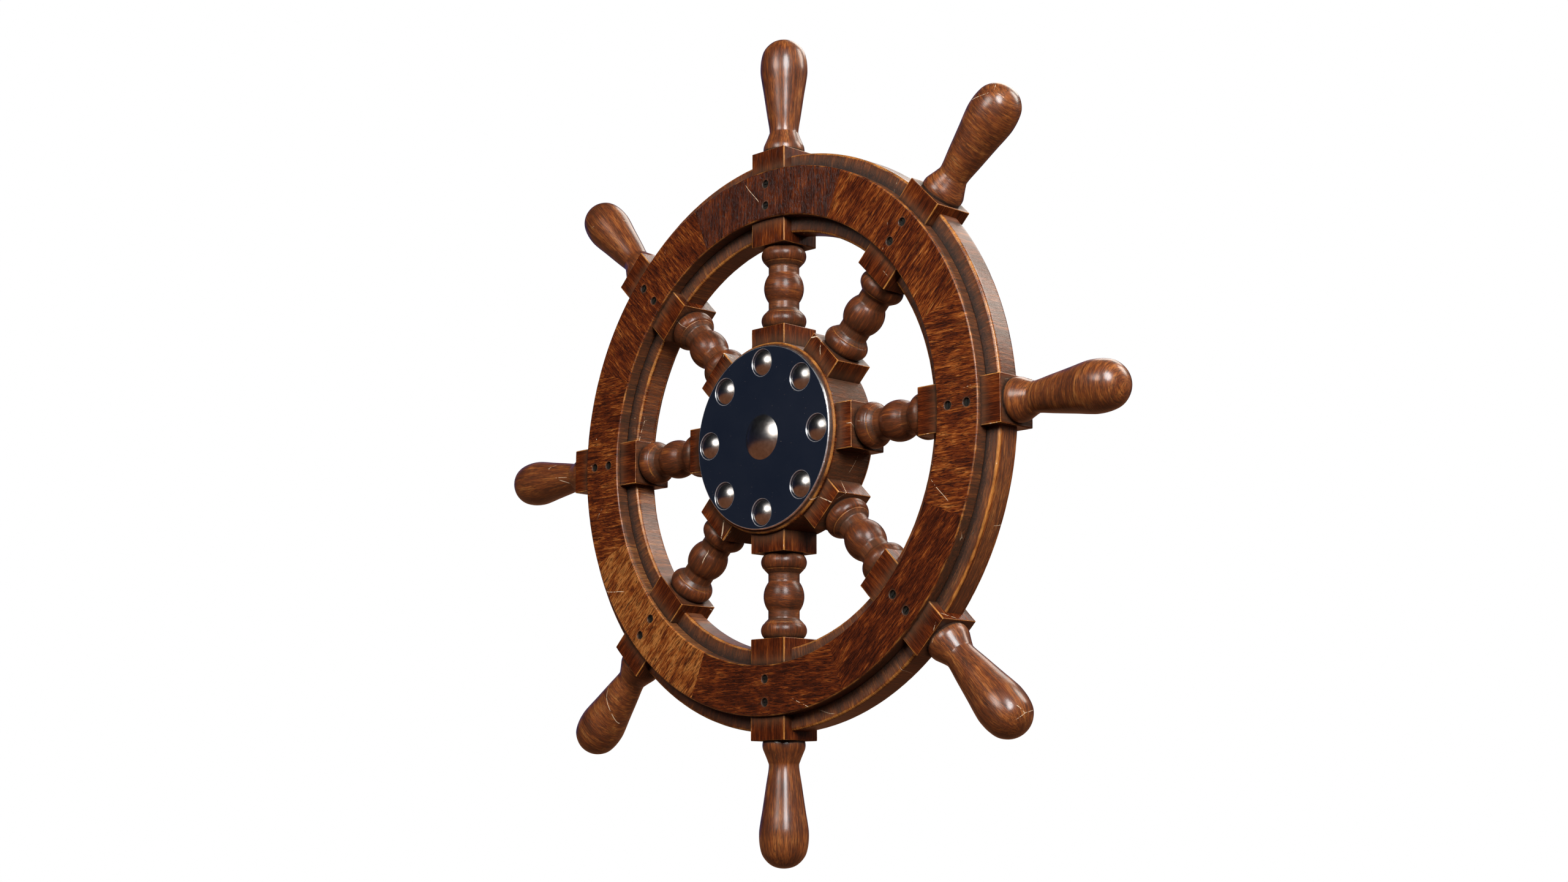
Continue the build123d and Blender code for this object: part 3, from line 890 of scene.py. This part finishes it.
def finish_wood(material, tree, grain, tone_and_light, wear, grime_and_shade, raised, look):
    """Wood under satin varnish that is rubbed thin and chipped through, soiled, and darkened by painted shade
    in its corners and hollows.
    """
    place = new_node(tree, "TexCoord").outputs["Object"]
    colour, height, fibre = wood_figure(tree, grain, tone_and_light, raised, look)
    speckle = noise_value(tree, place, 420.0, 2.0, 0.6)
    blotch = noise_value(tree, place, 60.0, 2.0, 0.5)
    rubbed = calculate(tree, "ADD", wear, times_plus(tree, blotch, 0.8, -0.4))
    sanded = ramp(tree, rubbed, 0.35, 0.80)
    sanded = times(tree, sanded, times_plus(tree, fibre, 1.6, -0.1), clamp=True)
    colour = mixed(tree, sanded, colour, SANDED)
    thin = times_plus(tree, speckle, 1.0, times_plus(tree, fibre, 0.8, -0.9))
    bare = ramp(tree, calculate(tree, "ADD", rubbed, thin), 0.98, 1.14)
    bare = times(tree, bare, calculate(tree, "GREATER_THAN", wear, worn_through))
    bare = times(tree, bare, 0.85)
    colour = mixed(tree, bare, colour, BARE)
    scratches = scratch_mask(tree, place)
    colour = mixed(tree, times(tree, scratches, 0.85), colour, BARE)
    # Where little is marked this is dust; where much is marked it is near-black painted shade in corners and
    # hollows, mixed with soiling.
    dirt_and_shade = times(tree, grime_and_shade, times_plus(tree, speckle, 0.7, 0.60), clamp=True)
    dirt_and_shade_colour = colours(tree, dirt_and_shade, ((0.35, DUST), (0.85, DIRT_AND_SHADE)))
    colour = mixed(tree, times(tree, dirt_and_shade, 0.92), colour, dirt_and_shade_colour)
    roughness = times_plus(tree, fibre, 0.20, look.roughness)
    roughness = times_plus(tree, raised, 0.07, roughness)
    roughness = times_plus(tree, bare, 0.20, roughness)
    roughness = times_plus(tree, dirt_and_shade, 0.35, roughness)
    coat = look.varnish
    if look.turned_varnish:
        coat = times_plus(tree, raised, look.turned_varnish, coat)
    surface(tree, Base_Color=colour, Roughness=roughness, IOR=look.ior, Coat_Weight=coat, Coat_Roughness=0.22,
            Normal=bumped(tree, height, look.relief))
    return material


# -------------------- build the wood
spoke_wood = wood_material(SPOKE_LOOK)
rim_wood = wood_material(RIM_LOOK)
facing_wood = wood_material(FACING_LOOK)
for number in range(1, spoke_count + 1):
    make_spoke(number, spoke_wood)
    make_felloe(number, rim_wood)
    make_facing(number, -1, facing_wood)
    make_facing(number, 1, facing_wood)


# -------------------- wood of the nave, on its CAD shape
def wheel_place(tree):
    """The place from the wheel's centre."""
    place = new_node(tree, "TexCoord").outputs["Object"]
    return vector_math(tree, "ADD", place, tuple(-hub))


def parts_of(tree, vector):
    node = new_node(tree, "SeparateXYZ")
    tree.links.new(vector, node.inputs[0])
    return node.outputs


def axis_distance(tree, parts):
    """Distance from the wheel's axis."""
    square = times(tree, parts[0], parts[0])
    square = times_plus(tree, parts[2], parts[2], square)
    return calculate(tree, "SQRT", square)


def nave_material():
    """The same wood with its grain along the axis, worn at the front and rear edges, with painted shade next
    to the plate and over its round side.
    """
    material, tree = new_material(NAVE_LOOK.name)
    parts = parts_of(tree, wheel_place(tree))
    grain = combined(tree, parts[0], parts[2], parts[1])
    radius = axis_distance(tree, parts)
    depth = calculate(tree, "ABSOLUTE", parts[1])
    corner = calculate(tree, "ADD", radius, depth)
    arris = nave_radius + nave_half_depth
    wear = ramp(tree, corner, arris - 3.2 * MM, arris - 1.7 * MM, 0.0, 0.6)
    # Painted shade: heavy just outside the plate, and half strength over the round side, which the rim keeps
    # from the light.
    grime_and_shade = ramp(tree, radius, plate_radius + 2.2 * MM, plate_radius + 0.6 * MM, 0.0, 0.7)
    grime_and_shade = calculate(tree, "MAXIMUM", grime_and_shade, ramp(tree, depth, 27.5 * MM, 24.0 * MM, 0.0, 0.5))
    return finish_wood(material, tree, grain, nave_tone, wear, grime_and_shade, nave_raised, NAVE_LOOK)


# -------------------- metals
def bolt_distance(tree, parts, count, circle):
    """Distance from the nearest of a ring of bolts, in the wheel's plane."""
    angle = calculate(tree, "ARCTAN2", parts[0], parts[2])
    folded = calculate(tree, "PINGPONG", angle, math.pi / count)
    radius = axis_distance(tree, parts)
    across = times(tree, radius, calculate(tree, "SINE", folded))
    out = times_plus(tree, radius, calculate(tree, "COSINE", folded), -circle)
    square = times_plus(tree, out, out, times(tree, across, across))
    return calculate(tree, "SQRT", square)


def enamel_material():
    """Gloss dark navy enamel, rubbed to bright steel on the rim and round the bolt heads."""
    material, tree = new_material("navy_enamel_plate")
    place = wheel_place(tree)
    parts = parts_of(tree, place)
    radius = axis_distance(tree, parts)
    rim = ramp(tree, radius, plate_radius - 1.5 * MM, plate_radius - 0.9 * MM)
    seat = bolt_distance(tree, parts, spoke_count, bolt_circle)
    ring_outside = ramp(tree, seat, 15.60 * MM, 15.35 * MM)
    ring_inside = ramp(tree, seat, 14.65 * MM, 14.90 * MM)
    ring = times(tree, ring_outside, times(tree, ring_inside, 0.8))
    worn = calculate(tree, "MAXIMUM", rim, ring)
    cloud = noise_value(tree, place, 18.0, 3.0)
    smear = noise_value(tree, place, (120.0, 40.0, 300.0), 3.0)
    navy = colours(tree, cloud, ((0.3, (0.0066, 0.0096, 0.0178)), (0.7, (0.0098, 0.0128, 0.0212))))
    steel = colours(tree, smear, ((0.3, (0.42, 0.42, 0.44)), (0.7, (0.66, 0.66, 0.68))))
    specks = ramp(tree, noise_value(tree, place, 900.0, 1.0), 0.80, 0.82)
    colour = mixed(tree, worn, navy, steel)
    colour = mixed(tree, times(tree, specks, 0.5), colour, BARE)
    roughness = times_plus(tree, smear, 0.10, 0.16)
    roughness = times_plus(tree, worn, 0.10, roughness)
    surface(tree, Base_Color=colour, Metallic=worn, Roughness=roughness, Coat_Weight=0.4, Coat_Roughness=0.08,
            Normal=bumped(tree, smear, 0.03 * MM))
    return material


def steel_material(name, low, high, roughness_low, roughness_high, tarnish=0.0):
    """Steel with a faint turned haze, small pits and a little tarnish."""
    material, tree = new_material(name)
    place = wheel_place(tree)
    haze = noise_value(tree, place, 240.0, 4.0, 0.6)
    pits = ramp(tree, noise_value(tree, place, 1300.0, 1.0), 0.70, 0.76)
    stain = ramp(tree, noise_value(tree, place, 70.0, 3.0), 0.45, 0.75)
    colour = colours(tree, haze, ((0.3, low), (0.7, high)))
    colour = mixed(tree, times(tree, stain, tarnish), colour, (0.20, 0.13, 0.08, 1.0))
    colour = mixed(tree, times(tree, pits, 0.4), colour, (0.05, 0.04, 0.035, 1.0))
    roughness = times_plus(tree, haze, roughness_high - roughness_low, roughness_low)
    height = times_plus(tree, pits, -1.0, haze)
    relief = bumped(tree, height, 0.01 * MM)
    surface(tree, Base_Color=colour, Metallic=1.0, Roughness=roughness, Normal=relief)
    return material


def blackened_screw_material():
    material, tree = new_material("blackened_screw")
    place = wheel_place(tree)
    grit = noise_value(tree, place, 700.0, 3.0)
    colour = colours(tree, grit, ((0.35, (0.008, 0.008, 0.007)), (0.65, (0.026, 0.025, 0.020)),
                                  (0.85, (0.16, 0.14, 0.10))))
    surface(tree, Base_Color=colour, Metallic=0.55, Roughness=0.45, Normal=bumped(tree, grit, 0.1 * MM))
    return material


def dowel_material():
    material, tree = new_material("bare_dowel")
    place = wheel_place(tree)
    figure = noise_value(tree, place, 600.0, 3.0)
    colour = colours(tree, figure, ((0.3, (0.30, 0.17, 0.08)), (0.7, (0.52, 0.34, 0.18))))
    surface(tree, Base_Color=colour, Roughness=0.6, Normal=bumped(tree, figure, 0.1 * MM))
    return material


def casting_material():
    """Sand-cast iron under dark navy enamel."""
    material, tree = new_material("enamelled_casting_finish")
    place = wheel_place(tree)
    grain = noise_value(tree, place, 420.0, 4.0, 0.6)
    cloud = noise_value(tree, place, 45.0, 3.0)
    colour = colours(tree, cloud, ((0.3, (0.010, 0.015, 0.026)), (0.7, (0.020, 0.026, 0.040))))
    roughness = times_plus(tree, cloud, 0.25, 0.25)
    surface(tree, Base_Color=colour, Roughness=roughness, Coat_Weight=0.2, Coat_Roughness=0.2,
            Normal=bumped(tree, grain, 0.25 * MM))
    return material


def bronze_material():
    return steel_material("turned_bronze", (0.46, 0.27, 0.10), (0.66, 0.43, 0.19), 0.22, 0.42, tarnish=0.35)


def dress(material, *names):
    """Give CAD nodes a finish in place of their flat one."""
    for name in names:
        for slot in frame["nodes"][name].material_slots:
            slot.material = material


dress(nave_material(), "nave")
dress(enamel_material(), "front_plate", "hub_flange")
polished_steel = steel_material(
    "polished_steel_domes", (0.28, 0.27, 0.265), (0.39, 0.38, 0.37), 0.20, 0.30, tarnish=0.2)
turned_steel = steel_material(
    "turned_shaft_steel", (0.38, 0.38, 0.39), (0.55, 0.55, 0.56), 0.22, 0.42, tarnish=0.15)
spring_steel = steel_material("spring_steel_ring", (0.10, 0.10, 0.11), (0.18, 0.18, 0.20), 0.30, 0.45)
dress(polished_steel, "hub_bolts", "hub_nuts", "centre_cap")
dress(turned_steel, "shaft", "shaft_key", "shaft_washer", "shaft_nut")
dress(spring_steel, "retaining_ring")
dress(blackened_screw_material(), "front_screws", "rear_screws")
dress(dowel_material(), "rim_dowels")
dress(casting_material(), "bearing_housing")
dress(bronze_material(), "bearing_bush")


# -------------------- camera and studio sizes
camera_azimuth = math.radians(45.0)
camera_elevation = math.radians(-10.06)
camera_distance = 2.371
lamp_distance = 3.2
floor_reach = 60.0
floor_drop = 1.0                    # how far the floor lies below the origin


def towards(azimuth, elevation):
    """Unit vector from the wheel: azimuth 0 is out of its front, 90 degrees to its right."""
    level = math.cos(elevation)
    return Vector((level * math.sin(azimuth), -level * math.cos(azimuth), math.sin(elevation)))


camera_data = bpy.data.cameras.new("camera")
camera_data.lens = 50.0
camera_data.sensor_width = 36.0
camera = add_object("camera", camera_data)
camera.location = hub + towards(camera_azimuth, camera_elevation) * camera_distance
camera.rotation_euler = (math.pi / 2 - camera_elevation, 0.0, camera_azimuth)
bpy.context.scene.camera = camera


# -------------------- studio
def window(name, azimuth, elevation, width, height, radiance, colour=(1, 1, 1), diffuse=True, glossy=True):
    """A soft oval light that faces the wheel; width and height are angles in degrees."""
    data = bpy.data.lights.new(name, "AREA")
    data.shape = "ELLIPSE"
    data.size = 2 * lamp_distance * math.tan(math.radians(width / 2))
    data.size_y = 2 * lamp_distance * math.tan(math.radians(height / 2))
    data.energy = radiance * math.pi * (math.pi / 4 * data.size * data.size_y)
    data.color = colour
    light = add_object(name, data)
    direction = towards(math.radians(azimuth), math.radians(elevation))
    light.location = hub + direction * lamp_distance
    light.rotation_euler = direction.to_track_quat("Z", "Y").to_euler()
    light.visible_camera = False
    light.visible_diffuse = diffuse
    light.visible_glossy = glossy


window("front_window", 4, 30, 36, 34, 1.9, colour=(1.0, 0.97, 0.94))
window("front_lamp", 4, 24, 22, 24, 7.0, colour=(1.0, 0.98, 0.96))
window("front_gleam", 12, 18, 26, 20, 5.2, diffuse=False, colour=(1.0, 0.90, 0.78))
window("side_window", 55, 24, 22, 34, 26.0)
window("rear_window", 144, 38, 20, 30, 10.5, colour=(1.0, 0.92, 0.82))
window("rear_fill", 205, 18, 44, 34, 2.6, glossy=False, colour=(1.0, 0.95, 0.9))
window("rear_gleam", 195, 45, 34, 24, 4.0, diffuse=False, colour=(1.0, 0.93, 0.84))


def white_for_camera(tree, kind, colour, output_kind):
    """Give off white to the camera and another colour to every other ray."""
    seen = new_node(tree, kind)
    seen.inputs["Color"].default_value = (1.0, 1.0, 1.0, 1.0)
    unseen = new_node(tree, kind)
    tree.links.new(colour, unseen.inputs["Color"])
    choose = new_node(tree, "MixShader")
    path = new_node(tree, "LightPath")
    tree.links.new(path.outputs["Is Camera Ray"], choose.inputs[0])
    tree.links.new(unseen.outputs[0], choose.inputs[1])
    tree.links.new(seen.outputs[0], choose.inputs[2])
    output = new_node(tree, output_kind)
    tree.links.new(choose.outputs[0], output.inputs["Surface"])


def by_reflection(tree, other, reflected):
    """One colour for what is seen in reflections, and another for soft light."""
    path = new_node(tree, "LightPath")
    return mixed(tree, path.outputs["Is Glossy Ray"], other, reflected)


def alike(tree, parts, direction):
    """How nearly a ray points in a direction, from -1 to 1."""
    share = times(tree, parts[1], direction.y)
    share = times_plus(tree, parts[0], direction.x, share)
    return times_plus(tree, parts[2], direction.z, share)


def build_world():
    """Light from far off: warm grey to the right, a blue patch behind to the left, dark navy elsewhere."""
    world = bpy.data.worlds.new("studio")
    world.use_nodes = True
    tree = world.node_tree
    tree.nodes.clear()
    parts = parts_of(tree, new_node(tree, "TexCoord").outputs["Generated"])
    right = alike(tree, parts, towards(math.radians(109), 0))
    left = alike(tree, parts, towards(math.radians(-122), math.radians(10)))
    height = ramp(tree, parts[2], -0.05, 0.6)
    navy = mixed(tree, height, (0.009, 0.014, 0.038, 1.0), (0.011, 0.012, 0.015, 1.0))
    grey = by_reflection(tree, (0.45, 0.40, 0.37, 1.0), (0.14, 0.12, 0.11, 1.0))
    sky = mixed(tree, ramp(tree, right, 0.44, 0.56), navy, grey)
    sky = mixed(tree, ramp(tree, left, 0.78, 0.92), sky, (0.03, 0.065, 0.20, 1.0))
    white_for_camera(tree, "Background", sky, "OutputWorld")
    bpy.context.scene.world = world


def build_floor():
    """A seamless floor, white to the camera and brown in reflections."""
    material, tree = new_material("pale_floor")
    brown = by_reflection(tree, (0.025, 0.012, 0.007, 1.0), (0.30, 0.12, 0.06, 1.0))
    white_for_camera(tree, "Emission", brown, "OutputMaterial")
    corners = [(-1, -1), (1, -1), (1, 1), (-1, 1)]
    mesh = bpy.data.meshes.new("floor")
    corners = [(x * floor_reach, y * floor_reach, -floor_drop) for x, y in corners]
    mesh.from_pydata(corners, [], [(0, 1, 2, 3)])
    mesh.materials.append(material)
    floor = add_object("floor", mesh)


build_world()
build_floor()
bpy.context.scene.view_settings.view_transform = "Standard"
